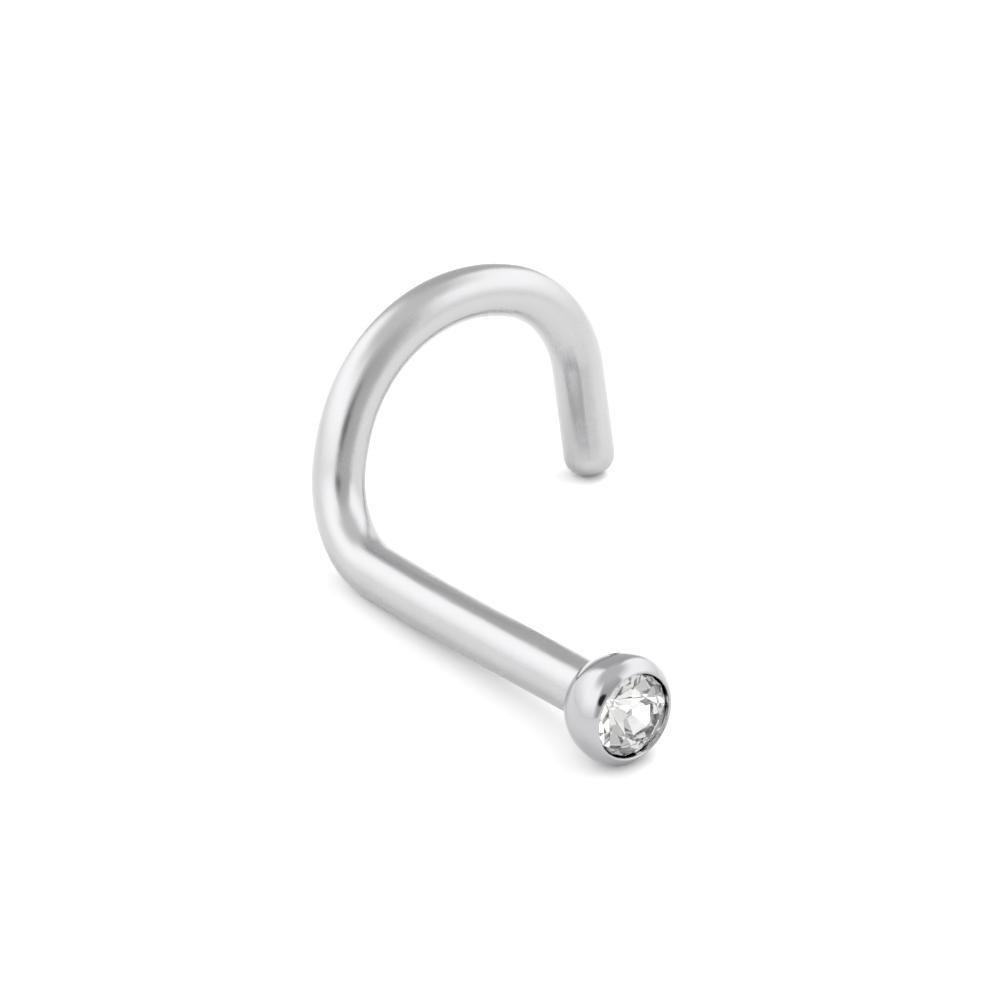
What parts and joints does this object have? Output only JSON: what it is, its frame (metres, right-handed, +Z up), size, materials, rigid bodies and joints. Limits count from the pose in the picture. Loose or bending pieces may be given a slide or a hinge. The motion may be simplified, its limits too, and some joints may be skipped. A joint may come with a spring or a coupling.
{
  "type": "nose stud",
  "caption": "Curled nose stud: a round-wire post bent square into an open curl with a rounded tail tip, and a round faceted crystal in a ball setting.",
  "frame": {"origin": "centre of the bounding box, at the surface that the stud rests on", "axes": "+Z up, -Y along the post towards the crystal (the post rises 4.4 degrees to the ball), +X towards the tail of the curl"},
  "size_m": [0.0074, 0.0102, 0.0046],
  "materials": {
    "polished_metal": "satin polished",
    "clear_crystal": "faceted and foil backed"
  },
  "bodies": {
    "root": {"nose_screw": "polished_metal", "crystal": "clear_crystal"}
  },
  "joints": []
}
